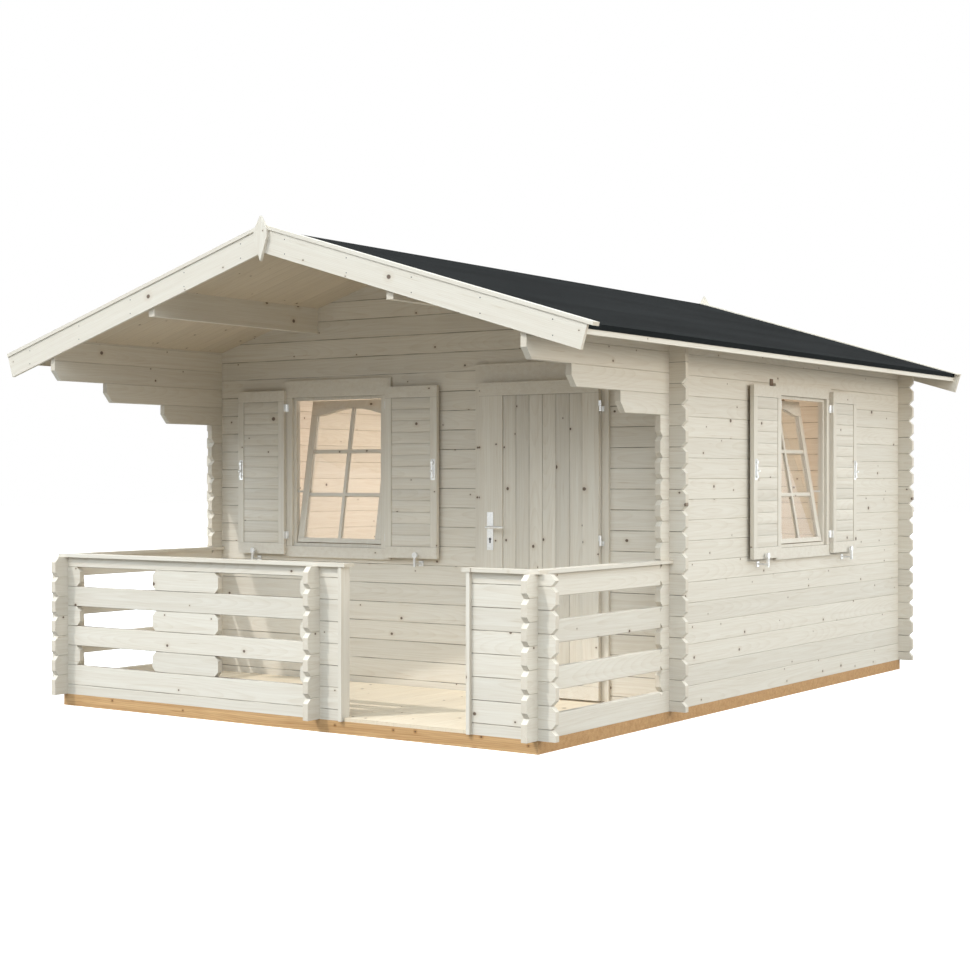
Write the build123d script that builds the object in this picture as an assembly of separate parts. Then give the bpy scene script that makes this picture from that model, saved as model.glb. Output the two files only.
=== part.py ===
from build123d import *
import math
import os

# Garden log cabin with a railed terrace under its front gable. Millimetres, Z up, front towards -Y.
# Heights named *_level are measured from the underside of the bottom logs.

# Logs
log_height = 120
log_thickness = 35
log_end = 104
end_bevel = 28
seam_groove = 3
side_courses = 18
bracket_courses = 4
gable_courses = 1.5
side_shift = 0
cross_shift = 0.5

# Plan, over the outer faces of the logs
cabin_width = 3430
cabin_depth = 3580
terrace_depth = 1404

# Foundation and floors
beam_height = 70
beam_width = 45
joist_spacing = 590
cabin_floor_board = 19
terrace_floor_board = 20
floor_gap = 4

# Roof
roof_pitch = 17
eave_overhang = 316
front_overhang = 1512
rear_overhang = 238
roof_board = 20
felt_thickness = 4
felt_lip = 26
eave_strip_width = 20
eave_strip_height = 32
purlin_width = 45
purlin_height = 148
purlin_offset = 866
bracket_reaches = (560, 1075, 1512)
bracket_bevel_run = 52

# Boards along the gable edges of the roof
barge_width = 130
barge_thickness = 20
barge_end_reach = 46
cap_thickness = 20
rear_cap_thickness = 8
cap_width = 62
cap_nosing = 6
cap_tail = 32
finial_width = 94
finial_height = 252
finial_thickness = 20
finial_rise = 45
finial_shoulder = 80
finial_waist = 122

# Terrace railing
rail_courses = 7
rail_end_bevel = 30
rail_cap_thickness = 20
rail_cap_width = 84
way_in_from_corner = 425
way_in_width = 820
post_inset = 178
trim_thickness = 22
trim_depth = 75
spacer_length = 520

# Door
door_from_corner = 847
door_width = 833
door_head_level = 1900
door_foot_level = 32
door_thickness = 28
door_gap = 5
door_overlap = 27
lock_stile_width = 168
hinge_stile_width = 107
door_rail_height = 80
panel_recess = 12
casing_thickness = 20
casing_width = 75
door_head_casing = 142
lining_thickness = 25
lining_proud = 12
threshold_height = 38
hinge_levels = (199, 958, 1741)
hinge_length = 58
hinge_radius = 7
hinge_pin_radius = 4
hinge_running_gap = 0.1
hinge_seat_gap = 0.3
hinge_edge_gap = 2
hinge_leaf_thickness = 3
hinge_leaf_width = 12
handle_level = 1028
lock_plate_width = 44
lock_plate_height = 228
lock_plate_thickness = 5
lock_plate_rise = 90
spindle_radius = 5
lever_radius = 8
lever_length = 112
lever_standoff = 42

# Windows
window_clear_width = 694
window_clear_height = 929
window_sill_level = 900
front_window_from_corner = 1035
side_window_from_front = 1827
window_casing_width = 72
front_head_casing = 111
window_lining = 30
window_head_rebate = 24
casing_setback = 20
sash_margin = 6
sash_width = 50
sash_bottom_rail = 30
sash_top_rail = 52
sash_arch_drop = 45
sash_thickness = 34
sash_tilt = 9.8
glass_thickness = 4
sash_setback = 5
arch_haunch_reach = 0.45
arch_haunch_rise = 0.68
stay_level = 330
stay_height = 12

# Window shutters, held open
shutter_width = 398
shutter_height = 1074
shutter_foot_level = 824
shutter_thickness = 26
shutter_standoff = 2
shutter_stile_width = 48
shutter_rail_height = 72
shutter_recess = 8
shutter_overlap = 24
shutter_hinge_levels = (926, 1761)
shutter_hinge_length = 48
shutter_knuckle_radius = 6
catch_offset = 50
catch_drop = 34
catch_rise = 55
catch_width = 12
catch_thickness = 5
catch_plate = 34
catch_head_radius = 18
catch_head_thickness = 14
catch_gap = 16

# Derived sizes
half_width = cabin_width / 2
slope = math.tan(math.radians(roof_pitch))
cosine = math.cos(math.radians(roof_pitch))
joist_clear = beam_width + joist_spacing / 4
joist_count = math.ceil(cabin_depth / joist_spacing)
front_reach = front_overhang + barge_thickness + finial_thickness
rear_reach = cabin_depth + rear_overhang + barge_thickness + finial_thickness
front_y = (front_reach - rear_reach) / 2
back_y = front_y + cabin_depth
terrace_y = front_y - terrace_depth
base_z = beam_height
side_top_level = side_courses * log_height
gable_split_level = (side_courses - gable_courses) * log_height
rail_top_level = rail_courses * log_height
opening_right = half_width - way_in_from_corner
opening_left = opening_right - way_in_width
post_x = opening_left - trim_thickness - post_inset
roof_edge_x = half_width + eave_overhang
roof_front_y = front_y - front_overhang
roof_rear_y = back_y + rear_overhang
soffit_at_wall = base_z + side_top_level
ridge_soffit = soffit_at_wall + half_width * slope
board_rise = roof_board / cosine
felt_rise = felt_thickness / cosine
ridge_top = ridge_soffit + board_rise + felt_rise
door_centre = half_width - door_from_corner
front_window_centre = front_window_from_corner - half_width
leaf_left = door_centre - door_width / 2
leaf_right = door_centre + door_width / 2
clear_left = leaf_left + door_overlap
clear_right = leaf_right - door_overlap
clear_top = base_z + door_head_level - door_overlap
casing_y = front_y - casing_thickness
leaf_back_y = casing_y - door_gap
leaf_front_y = leaf_back_y - door_thickness
hinge_x = leaf_right + hinge_edge_gap + hinge_radius
hinge_y = leaf_front_y + hinge_radius
handle_x = leaf_left + lock_stile_width / 2
handle_z = base_z + handle_level


def soffit(x):
    """Height of the underside of the roof boards."""
    return ridge_soffit - abs(x) * slope


def block(x0, x1, y0, y1, z0, z1):
    return Pos((x0 + x1) / 2, (y0 + y1) / 2, (z0 + z1) / 2) * Box(x1 - x0, y1 - y0, z1 - z0)


def along_y(points, y0, y1):
    """Outline in X and Z, drawn out along Y."""
    return extrude(Plane.XZ.offset(-y0) * Polygon(*points, align=None), y1 - y0, dir=(0, 1, 0))


def along_x(points, x0, x1):
    """Outline in Y and Z, drawn out along X."""
    return extrude(Plane.YZ.offset(x0) * Polygon(*points, align=None), x1 - x0, dir=(1, 0, 0))


def mirrored(solid):
    return mirror(solid, Plane.YZ)


def save(name, shape):
    export_step(shape, f"parts/{name}.step")


def stack_end(reach, seams, low, high, outward, head=0):
    """Points up one end of a stack of logs, with a V notch at each seam."""
    points = [(reach, low)]
    for seam in seams:
        if low + end_bevel < seam < high - end_bevel:
            points += [(reach, seam - end_bevel), (reach - outward * end_bevel, seam),
                       (reach, seam + end_bevel)]
    if head and high - head > points[-1][1]:
        points.append((reach, high - head))
    points.append((reach - outward * head, high))
    return points


def seam_levels(high, shift):
    """Seams up to a height. Logs from side to side lie half a log higher than the others."""
    return [(k + shift) * log_height for k in range(math.ceil(high / log_height) + 1)]


def side_seams(low, high):
    return [level for level in seam_levels(high, side_shift) if low < level < high]


def cross_seams(low, high):
    return [level for level in seam_levels(high, cross_shift) if low < level < high]


def grooved(seams, low, high_outer, high_inner, outer, inner):
    """Section through a log wall, with a small V along each seam on both faces."""
    sign = 1 if outer > inner else -1
    points = [(inner, low), (outer, low)]
    for seam in seams:
        points += [(outer, seam - seam_groove), (outer - sign * seam_groove, seam),
                   (outer, seam + seam_groove)]
    points += [(outer, high_outer), (inner, high_inner)]
    for seam in reversed(seams):
        points += [(inner, seam + seam_groove), (inner + sign * seam_groove, seam),
                   (inner, seam - seam_groove)]
    return points


def raised(points):
    """Lifts levels onto the foundation."""
    return [(a, level + base_z) for a, level in points]


def lap_slots(x0, x1, y0, y1, shift, low, high):
    """Half laps at a crossing: each slot takes a quarter of the log above and below its seam."""
    quarter = log_height / 4
    slots = []
    for seam in seam_levels(high, shift):
        bottom, top = max(seam - quarter, low), min(seam + quarter, high)
        if bottom < top:
            slots.append(block(x0, x1, y0, y1, base_z + bottom, base_z + top))
    return slots


# Foundation: beams under every log wall, and joists between them


def foundation_frame():
    outer = block(-half_width, half_width, terrace_y, back_y, 0, beam_height)
    left, right = -half_width + beam_width, half_width - beam_width
    cabin = block(left, right, front_y + beam_width, back_y - beam_width, 0, beam_height)
    terrace = block(left, right, terrace_y + beam_width, front_y, 0, beam_height)
    return outer - cabin - terrace


def floor_joists():
    """Joists laid out from the one under the middle of the whole building."""
    lines = [k * joist_spacing for k in range(-joist_count, joist_count + 1)]
    lines = [y for y in lines if front_y + joist_clear < y < back_y - joist_clear]
    lines.append((terrace_y + front_y) / 2)
    left, right = -half_width + beam_width, half_width - beam_width
    return Compound(children=[block(left, right, y - beam_width / 2, y + beam_width / 2,
                                    0, beam_height) for y in lines])


def cabin_floor():
    inner = half_width - log_thickness - floor_gap
    front = front_y + log_thickness + floor_gap
    top = base_z + cabin_floor_board
    floor = block(-inner, inner, front, back_y - log_thickness - floor_gap, base_z, top)
    reach = lining_thickness + floor_gap
    return floor - block(clear_left - reach, clear_right + reach, front, front + lining_proud,
                         base_z, top)


def terrace_floor():
    """Deck, notched round the cross post and the boards that line the way in."""
    inner = half_width - log_thickness - floor_gap
    z0, z1 = base_z, base_z + terrace_floor_board
    deck = block(-inner, inner, terrace_y + log_thickness + floor_gap, front_y - floor_gap, z0, z1)
    deck -= block(post_x - floor_gap, post_x + log_thickness + floor_gap, terrace_y,
                  terrace_y + log_thickness + log_end + floor_gap, z0, z1)
    trim_end = terrace_y + (trim_depth + log_thickness) / 2 + floor_gap
    for x in (opening_left - trim_thickness, opening_right):
        deck -= block(x - floor_gap, x + trim_thickness + floor_gap, terrace_y, trim_end, z0, z1)
    apron = block(opening_left + floor_gap, opening_right - floor_gap, terrace_y, trim_end, z0, z1)
    return deck + apron


# Log walls


def roof_space():
    """Everything under the roof boards."""
    reach = half_width + 2 * log_end
    points = [(-reach, 0), (reach, 0), (reach, soffit(reach)), (0, ridge_soffit),
              (-reach, soffit(reach))]
    return along_y(points, roof_front_y - log_end, roof_rear_y + log_end)


def purlin(side):
    x = side * purlin_offset
    low = soffit(purlin_offset + purlin_width / 2) - purlin_height
    left, right = x - purlin_width / 2, x + purlin_width / 2
    points = [(left, low), (right, low), (right, soffit(right)), (left, soffit(left))]
    return along_y(points, roof_front_y, roof_rear_y)


def cross_wall(y_outer, facing, left, right, low, high, left_free, right_free):
    """Logs from side to side. A free end reaches past the side wall and is notched."""
    seams = cross_seams(low, high)
    x_left = left - log_end if left_free else left
    x_right = right + log_end if right_free else right
    right_end = stack_end(x_right, seams if right_free else [], low, high, 1)
    left_end = stack_end(x_left, seams if left_free else [], low, high, -1)
    y_inner = y_outer - facing * log_thickness
    y_low, y_high = min(y_outer, y_inner), max(y_outer, y_inner)
    outline = along_y(raised(right_end + left_end[::-1]), y_low, y_high)
    section = along_x(raised(grooved(seams, low, high, high, y_outer, y_inner)), x_left, x_right)
    wall = outline & section
    slots = []
    for free, inner, outer in ((left_free, left + log_thickness, left),
                               (right_free, right - log_thickness, right)):
        if free:
            x0, x1 = min(inner, outer), max(inner, outer)
            slots += lap_slots(x0, x1, y_low, y_high, cross_shift, low, high)
    return wall - slots if slots else wall


def back_wall():
    top = ridge_soffit - base_z
    wall = cross_wall(back_y, 1, -half_width, half_width, 0, top, True, True)
    return wall & roof_space() - [purlin(-1), purlin(1)]


def front_wall_window_side():
    wall = cross_wall(front_y, -1, -half_width, clear_left - lining_thickness, 0,
                      gable_split_level, True, False)
    return wall - on_front(window_hole())


def front_wall_hinge_side():
    return cross_wall(front_y, -1, clear_right + lining_thickness, half_width, 0,
                      gable_split_level, False, True)


def front_gable():
    top = ridge_soffit - base_z
    wall = cross_wall(front_y, -1, -half_width, half_width, gable_split_level, top, True, True)
    return wall & roof_space() - [purlin(-1), purlin(1)]


def side_wall():
    """Side wall, whose top logs step forward as a bracket under the terrace roof."""
    top = side_top_level + log_thickness * slope
    bracket_foot = (side_courses - bracket_courses) * log_height
    front_end = front_y - log_end
    points = stack_end(front_end, side_seams(0, bracket_foot), 0, bracket_foot, -1)
    for step, reach in enumerate(bracket_reaches):
        level = bracket_foot + step * log_height
        tip = front_y - reach
        points += [(tip + bracket_bevel_run, level), (tip, level + log_height / 2)]
        if step + 1 < len(bracket_reaches):
            points.append((tip, level + log_height))
    points.append((front_y - bracket_reaches[-1], top))
    rear_end = back_y + log_end
    plate = side_top_level - log_height
    rear = stack_end(rear_end, side_seams(0, plate), 0, plate, 1)
    rear += [(roof_rear_y - bracket_bevel_run, plate), (roof_rear_y, plate + log_height / 2),
             (roof_rear_y, top)]
    outline = along_x(raised(points + rear[::-1]), half_width - log_thickness, half_width)
    section = along_y(raised(grooved(side_seams(0, side_top_level - 1), 0, side_top_level, top,
                                     half_width, half_width - log_thickness)),
                      roof_front_y, roof_rear_y)
    wall = outline & section
    for y0 in (front_y, back_y - log_thickness):
        wall -= lap_slots(half_width - log_thickness, half_width, y0, y0 + log_thickness,
                          side_shift, 0, top)
    return wall


# Roof


def roof_purlins():
    return Compound(children=[purlin(-1), purlin(1)])


def roof_boards_right():
    points = [(0, ridge_soffit), (roof_edge_x, soffit(roof_edge_x)),
              (roof_edge_x, soffit(roof_edge_x) + board_rise), (0, ridge_soffit + board_rise)]
    return along_y(points, roof_front_y, roof_rear_y)


def roofing_felt_right():
    """Felt on the boards, turned down over their ends at the eaves."""
    low = soffit(roof_edge_x) + board_rise
    outer = roof_edge_x + felt_thickness
    points = [(0, ridge_soffit + board_rise), (roof_edge_x, low),
              (roof_edge_x, low - felt_lip), (outer, low - felt_lip),
              (outer, low + felt_rise - felt_thickness * slope), (0, ridge_top)]
    return along_y(points, roof_front_y, roof_rear_y)


def eave_strips():
    """Strips nailed up under the ends of the roof boards."""
    inner = roof_edge_x - eave_strip_width
    low = soffit(roof_edge_x) - eave_strip_height
    points = [(inner, low), (roof_edge_x, low), (roof_edge_x, soffit(roof_edge_x)),
              (inner, soffit(inner))]
    strip = along_y(points, roof_front_y, roof_rear_y)
    return Compound(children=[strip, mirrored(strip)])


def bargeboard_right(y0):
    """One board, plumb at the ridge and square at the eaves."""
    depth = barge_width / cosine
    top_reach = roof_edge_x + barge_end_reach
    foot = top_reach - barge_width * math.sin(math.radians(roof_pitch))
    points = [(0, ridge_top - depth), (foot, ridge_top - depth - foot * slope),
              (top_reach, ridge_top - top_reach * slope), (0, ridge_top)]
    return along_y(points, y0, y0 + barge_thickness)


def barge_cap(reach, thickness, y0):
    """Cover strip, flat on a board and on the felt beside it, with its nosing ahead of the board."""
    rise = thickness / cosine
    tail = reach + thickness * math.sin(math.radians(roof_pitch))
    points = [(0, ridge_top), (reach, ridge_top - reach * slope),
              (tail, ridge_top + rise - tail * slope), (0, ridge_top + rise)]
    return along_y(points, y0, y0 + cap_width)


def barge_caps(front_tail):
    reach = roof_edge_x + barge_end_reach
    nose_y = roof_front_y - barge_thickness - cap_nosing
    rear_y = roof_rear_y + barge_thickness + cap_nosing - cap_width
    front = barge_cap(reach + front_tail, cap_thickness, nose_y) - front_finial()
    rear = barge_cap(reach, rear_cap_thickness, rear_y) - rear_finial()
    return Compound(children=[front, rear])


def finial(y0):
    """Tall pointed board over the joint of two bargeboards."""
    top = ridge_top + cap_thickness / cosine + finial_rise
    half = finial_width / 2
    side = [(half, top - finial_shoulder), (half, top - finial_waist)]
    points = [(0, top)] + side + [(0, top - finial_height)]
    points += [(-x, z) for x, z in reversed(side)]
    return along_y(points, y0, y0 + finial_thickness)


def front_finial():
    return finial(roof_front_y - barge_thickness - finial_thickness)


def rear_finial():
    return finial(roof_rear_y + barge_thickness)


def finials():
    return Compound(children=[front_finial(), rear_finial()])


# Terrace railing


def rail_gap_levels_side():
    return [k * log_height for k in range(1, rail_courses, 2)]


def rail_right():
    """Side railing: a full stack at the corner, and every second log running to the cabin."""
    outer_end = terrace_y - log_end
    cabin_end = front_y - log_end
    stub_end = terrace_y + log_thickness + log_end
    seams = side_seams(0, rail_top_level)
    points = stack_end(outer_end, seams, 0, rail_top_level, -1, rail_end_bevel)
    points += [(cabin_end, rail_top_level), (cabin_end, 0)]
    x0, x1 = half_width - log_thickness, half_width
    wall = along_x(raised(points), x0, x1)
    wall &= along_y(raised(grooved(seams, 0, rail_top_level, rail_top_level, x1, x0)),
                    outer_end, cabin_end)
    for level in rail_gap_levels_side():
        gap = [(stub_end, level + end_bevel), (stub_end - end_bevel, level), (cabin_end + 1, level),
               (cabin_end + 1, level + log_height), (stub_end - end_bevel, level + log_height),
               (stub_end, level + log_height - end_bevel)]
        wall -= along_x(raised(gap), x0, x1)
    return wall - lap_slots(x0, x1, terrace_y, terrace_y + log_thickness,
                            side_shift, 0, rail_top_level)


def rail_front_left():
    """Front railing left of the way in, with stubs, cross logs and middle blocks."""
    left_end = -half_width - log_end
    right_end = opening_left - trim_thickness
    seams = cross_seams(0, rail_top_level)
    left = stack_end(left_end, seams, 0, rail_top_level, -1, rail_end_bevel)
    points = left + [(right_end, rail_top_level), (right_end, 0)]
    y0, y1 = terrace_y, terrace_y + log_thickness
    wall = along_y(raised(points), y0, y1)
    wall &= along_x(raised(grooved(seams, 0, rail_top_level, rail_top_level, y0, y1)),
                    left_end, right_end)
    inner_left = -half_width + log_thickness + log_end
    inner_right = post_x - log_end
    middle = (inner_left + inner_right) / 2
    for foot in seams[1::2]:
        for x0, x1 in ((inner_left, middle - spacer_length / 2),
                       (middle + spacer_length / 2, inner_right)):
            gap = [(x0, foot + end_bevel), (x0 - end_bevel, foot), (x1 + end_bevel, foot),
                   (x1, foot + end_bevel), (x1, foot + log_height - end_bevel),
                   (x1 + end_bevel, foot + log_height), (x0 - end_bevel, foot + log_height),
                   (x0, foot + log_height - end_bevel)]
            wall -= along_y(raised(gap), y0, y1)
    for x in (-half_width, post_x):
        wall -= lap_slots(x, x + log_thickness, y0, y1, cross_shift, 0, rail_top_level)
    return wall


def rail_front_right():
    """Short closed railing right of the way in."""
    left_end = opening_right + trim_thickness
    right_end = half_width + log_end
    seams = cross_seams(0, rail_top_level)
    right = stack_end(right_end, seams, 0, rail_top_level, 1, rail_end_bevel)
    points = right + [(left_end, rail_top_level), (left_end, 0)]
    y0, y1 = terrace_y, terrace_y + log_thickness
    wall = along_y(raised(points), y0, y1)
    wall &= along_x(raised(grooved(seams, 0, rail_top_level, rail_top_level, y0, y1)),
                    left_end, right_end)
    return wall - lap_slots(half_width - log_thickness, half_width, y0, y1,
                            cross_shift, 0, rail_top_level)


def rail_cross_post():
    """Short logs that cross the front railing beside the way in and stiffen it."""
    seams = side_seams(0, rail_top_level)
    front = stack_end(terrace_y - log_end, seams, 0, rail_top_level, -1, rail_end_bevel)
    rear = stack_end(terrace_y + log_thickness + log_end, seams, 0, rail_top_level, 1,
                     rail_end_bevel)
    x0, x1 = post_x, post_x + log_thickness
    post = along_x(raised(front + rear[::-1]), x0, x1)
    post &= along_y(raised(grooved(seams, 0, rail_top_level, rail_top_level, x1, x0)),
                    terrace_y - log_end, terrace_y + log_thickness + log_end)
    return post - lap_slots(x0, x1, terrace_y, terrace_y + log_thickness,
                            side_shift, 0, rail_top_level)


rail_cap_z = base_z + rail_top_level
rail_cap_lip = (rail_cap_width - log_thickness) / 2


def rail_caps_front():
    y0 = terrace_y - rail_cap_lip
    y1 = y0 + rail_cap_width
    z0, z1 = rail_cap_z, rail_cap_z + rail_cap_thickness
    left = block(-half_width - rail_cap_lip, opening_left + rail_cap_lip, y0, y1, z0, z1)
    right = block(opening_right - rail_cap_lip, half_width + rail_cap_lip, y0, y1, z0, z1)
    return Compound(children=[left, right])


def rail_caps_side():
    """Caps that run to the cabin, slotted round the free ends of its side walls."""
    y0 = terrace_y - rail_cap_lip + rail_cap_width
    x1 = half_width + rail_cap_lip
    cap = block(x1 - rail_cap_width, x1, y0, front_y, rail_cap_z, rail_cap_z + rail_cap_thickness)
    cap -= block(half_width - log_thickness, half_width, front_y - log_end, front_y,
                 rail_cap_z, rail_cap_z + rail_cap_thickness)
    return Compound(children=[cap, mirrored(cap)])


def opening_trim_boards():
    y0 = terrace_y - (trim_depth - log_thickness) / 2
    boards = [block(x, x + trim_thickness, y0, y0 + trim_depth, base_z, rail_cap_z)
              for x in (opening_left - trim_thickness, opening_right)]
    return Compound(children=boards)


# Door


def door_frame():
    """Lining let into the wall, with flat boards over the joint outside."""
    split_z = base_z + gable_split_level
    lining = block(clear_left - lining_thickness, clear_right + lining_thickness, front_y,
                   front_y + log_thickness + lining_proud, base_z, split_z)
    lining -= block(clear_left, clear_right, front_y, front_y + log_end,
                    base_z + threshold_height, clear_top)
    outer = block(clear_left - casing_width, clear_right + casing_width, casing_y, front_y,
                  base_z + terrace_floor_board, clear_top + door_head_casing)
    hole = block(clear_left, clear_right, casing_y, front_y, base_z + threshold_height, clear_top)
    return lining + (outer - hole)


def door_leaf():
    """Boards in a raised frame of two stiles and three rails."""
    foot, head = base_z + door_foot_level, base_z + door_head_level
    leaf = block(leaf_left, leaf_right, leaf_front_y, leaf_back_y, foot, head)
    inner_left, inner_right = leaf_left + lock_stile_width, leaf_right - hinge_stile_width
    leaf -= block(inner_left, inner_right, leaf_front_y, leaf_front_y + panel_recess,
                  foot + door_rail_height, head - door_rail_height)
    spindle = Cylinder(spindle_radius + hinge_running_gap, 4 * door_thickness)
    return leaf - Pos(handle_x, leaf_front_y, handle_z) * Rot(90, 0, 0) * spindle


def door_hinge_pins():
    """Fixed halves: a plate on the frame, the lower knuckle and its pin."""
    halves = []
    for level in hinge_levels:
        z = base_z + level
        knuckle = Pos(hinge_x, hinge_y, z - hinge_length / 4) * Cylinder(hinge_radius,
                                                                         hinge_length / 2)
        pin = Pos(hinge_x, hinge_y, z + hinge_length / 4) * Cylinder(hinge_pin_radius,
                                                                     hinge_length / 2)
        web = block(hinge_x, hinge_x + hinge_leaf_thickness, hinge_y, casing_y,
                    z - hinge_length / 2, z)
        plate = block(hinge_x, hinge_x + hinge_leaf_width, casing_y - hinge_leaf_thickness,
                      casing_y, z - hinge_length / 2, z)
        halves.append(knuckle + pin + web + plate)
    return Compound(children=halves)


def door_hinge_barrels():
    """Moving halves: the upper knuckle, on a plate at the edge of the door."""
    halves = []
    for level in hinge_levels:
        z0 = base_z + level + hinge_seat_gap
        z1 = base_z + level + hinge_length / 2 + hinge_radius / 2
        middle = (z0 + z1) / 2
        knuckle = Pos(hinge_x, hinge_y, middle) * Cylinder(hinge_radius, z1 - z0)
        plate = block(leaf_right, leaf_right + hinge_edge_gap, leaf_front_y, leaf_back_y, z0, z1)
        tab = block(leaf_right, hinge_x, hinge_y - hinge_leaf_thickness / 2,
                    hinge_y + hinge_leaf_thickness / 2, z0, z1)
        depth = base_z + level + hinge_length / 2 + hinge_seat_gap - z0
        bore = Pos(hinge_x, hinge_y, z0 + depth / 2) * Cylinder(
            hinge_pin_radius + hinge_running_gap, depth)
        halves.append(knuckle + plate + tab - bore)
    return Compound(children=halves)


def door_lock_plates():
    """Long plates outside and inside, bored for the spindle."""
    foot = handle_z + lock_plate_rise - lock_plate_height
    left, right = handle_x - lock_plate_width / 2, handle_x + lock_plate_width / 2
    bore = Pos(handle_x, leaf_back_y, handle_z) * Rot(90, 0, 0) * Cylinder(
        spindle_radius + hinge_running_gap, 4 * door_thickness)
    plates = [block(left, right, y0, y0 + lock_plate_thickness, foot, foot + lock_plate_height)
              - bore for y0 in (leaf_front_y - lock_plate_thickness, leaf_back_y)]
    return Compound(children=plates)


def lever_arm(plate_y, outward):
    """Neck out from a plate, and a round arm that points to the hinges."""
    start = plate_y + outward
    tip = plate_y + outward * lever_standoff
    neck = Pos(handle_x, (start + tip) / 2, handle_z) * Rot(90, 0, 0) * Cylinder(
        lever_radius, abs(tip - start))
    arm = Pos(handle_x + lever_length / 2, tip, handle_z) * Rot(0, 90, 0) * Cylinder(
        lever_radius, lever_length)
    knee = Pos(handle_x, tip, handle_z) * Sphere(lever_radius)
    end = Pos(handle_x + lever_length, tip, handle_z) * Sphere(lever_radius)
    return neck + arm + knee + end


def door_lever():
    """Levers on both sides of the door, on one spindle."""
    outer, inner = leaf_front_y - lock_plate_thickness, leaf_back_y + lock_plate_thickness
    length = inner - outer + lever_standoff
    spindle = Pos(handle_x, (outer + inner) / 2, handle_z) * Rot(90, 0, 0) * Cylinder(
        spindle_radius, length)
    return spindle + lever_arm(outer, -1) + lever_arm(inner, 1)


# Windows and shutters, made facing -Y about X = 0 with the wall's outer face at Y = 0


def window_hole():
    """Cut-out in a wall for the lining of a window."""
    half = window_clear_width / 2 + window_lining
    low = base_z + window_sill_level
    return block(-half, half, -log_end, log_end, low - window_lining,
                 low + window_clear_height + window_lining)


casing_hole_half = window_clear_width / 2 + casing_setback


def window_frame(head_casing):
    """Lining in the wall, whose front edge shows inside the casing on the wall's face.

    Its head is rebated behind that edge for the top of the closed sash.
    """
    half = window_clear_width / 2
    low = base_z + window_sill_level
    high = low + window_clear_height
    lining = block(-half - window_lining, half + window_lining, 0, log_thickness,
                   low - window_lining, high + window_lining)
    lining -= block(-half, half, 0, log_thickness, low, high)
    lining -= block(-half, half, sash_setback, log_thickness, high, high + window_head_rebate)
    low -= casing_setback
    high += casing_setback
    outer = casing_hole_half + window_casing_width
    casing = block(-outer, outer, -casing_thickness, 0, low - window_casing_width, high + head_casing)
    casing -= block(-casing_hole_half, casing_hole_half, -casing_thickness, 0, low, high)
    return lining + casing


sash_half_width = window_clear_width / 2 - sash_margin
sash_height = window_clear_height + window_head_rebate - 2 * sash_margin


def sash_opening(y0, y1):
    """Space between the stiles and rails of a sash, arched along the top."""
    side = sash_half_width - sash_width
    crown = sash_height - sash_top_rail
    spring = crown - sash_arch_drop
    haunch = (arch_haunch_reach * side, spring + arch_haunch_rise * sash_arch_drop)
    sides = Polyline((-side, spring), (-side, sash_bottom_rail), (side, sash_bottom_rail),
                     (side, spring))
    arch = Spline((side, spring), haunch, (0, crown), (-haunch[0], haunch[1]), (-side, spring),
                  tangents=((-1, 0), (-1, 0)))
    return extrude(Plane.XZ.offset(-y0) * make_face(sides + arch), y1 - y0, dir=(0, 1, 0))


def window_sash():
    sash = block(-sash_half_width, sash_half_width, 0, sash_thickness, 0, sash_height)
    return sash - sash_opening(0, sash_thickness)


def window_glass():
    middle = sash_thickness / 2
    return sash_opening(middle - glass_thickness / 2, middle + glass_thickness / 2)


def tilted(solid):
    """Sets a sash on its sill, tipped into the room at the top."""
    low = base_z + window_sill_level + sash_thickness * math.sin(math.radians(sash_tilt))
    return Pos(0, sash_setback, low) * Rot(-sash_tilt, 0, 0) * solid


def window_stays():
    """Bars that hold the tilted sash to the lining on both sides."""
    low = base_z + window_sill_level + stay_level
    reach = sash_setback + stay_level * math.tan(math.radians(sash_tilt)) + sash_thickness / 2
    half = window_clear_width / 2
    stay = block(half - sash_margin, half, log_thickness / 2, reach, low, low + stay_height)
    return Compound(children=[stay, mirrored(stay)])


shutter_edge = casing_hole_half + window_casing_width - shutter_overlap
shutter_back = -casing_thickness - shutter_standoff
shutter_front = shutter_back - shutter_thickness


def shutter():
    """Framed shutter standing open beside the window."""
    low = base_z + shutter_foot_level
    left, right = shutter_edge, shutter_edge + shutter_width
    body = block(left, right, shutter_front, shutter_back, low, low + shutter_height)
    field = block(left + shutter_stile_width, right - shutter_stile_width,
                  shutter_front, shutter_front + shutter_recess,
                  low + shutter_rail_height, low + shutter_height - shutter_rail_height)
    return body - field


def shutters():
    right = shutter()
    return Compound(children=[right, mirrored(right)])


def shutter_hinge(level):
    """Knuckle between a plate on the casing and a leaf on the edge of the shutter."""
    z0 = base_z + level
    z1 = z0 + shutter_hinge_length
    x = shutter_edge - shutter_knuckle_radius
    plate_front = -casing_thickness - hinge_leaf_thickness
    knuckle = Pos(x, plate_front - shutter_knuckle_radius / 2, (z0 + z1) / 2) * Cylinder(
        shutter_knuckle_radius, z1 - z0)
    knuckle &= block(x - shutter_knuckle_radius, shutter_edge, shutter_front, plate_front, z0, z1)
    plate = block(x - hinge_leaf_width, shutter_edge, plate_front, -casing_thickness, z0, z1)
    leaf = block(shutter_edge - hinge_leaf_thickness, shutter_edge, shutter_front, plate_front,
                 z0, z1)
    return knuckle + plate + leaf


def shutter_hinges():
    right = [shutter_hinge(level) for level in shutter_hinge_levels]
    return Compound(children=right + [mirrored(hinge) for hinge in right])


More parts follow.
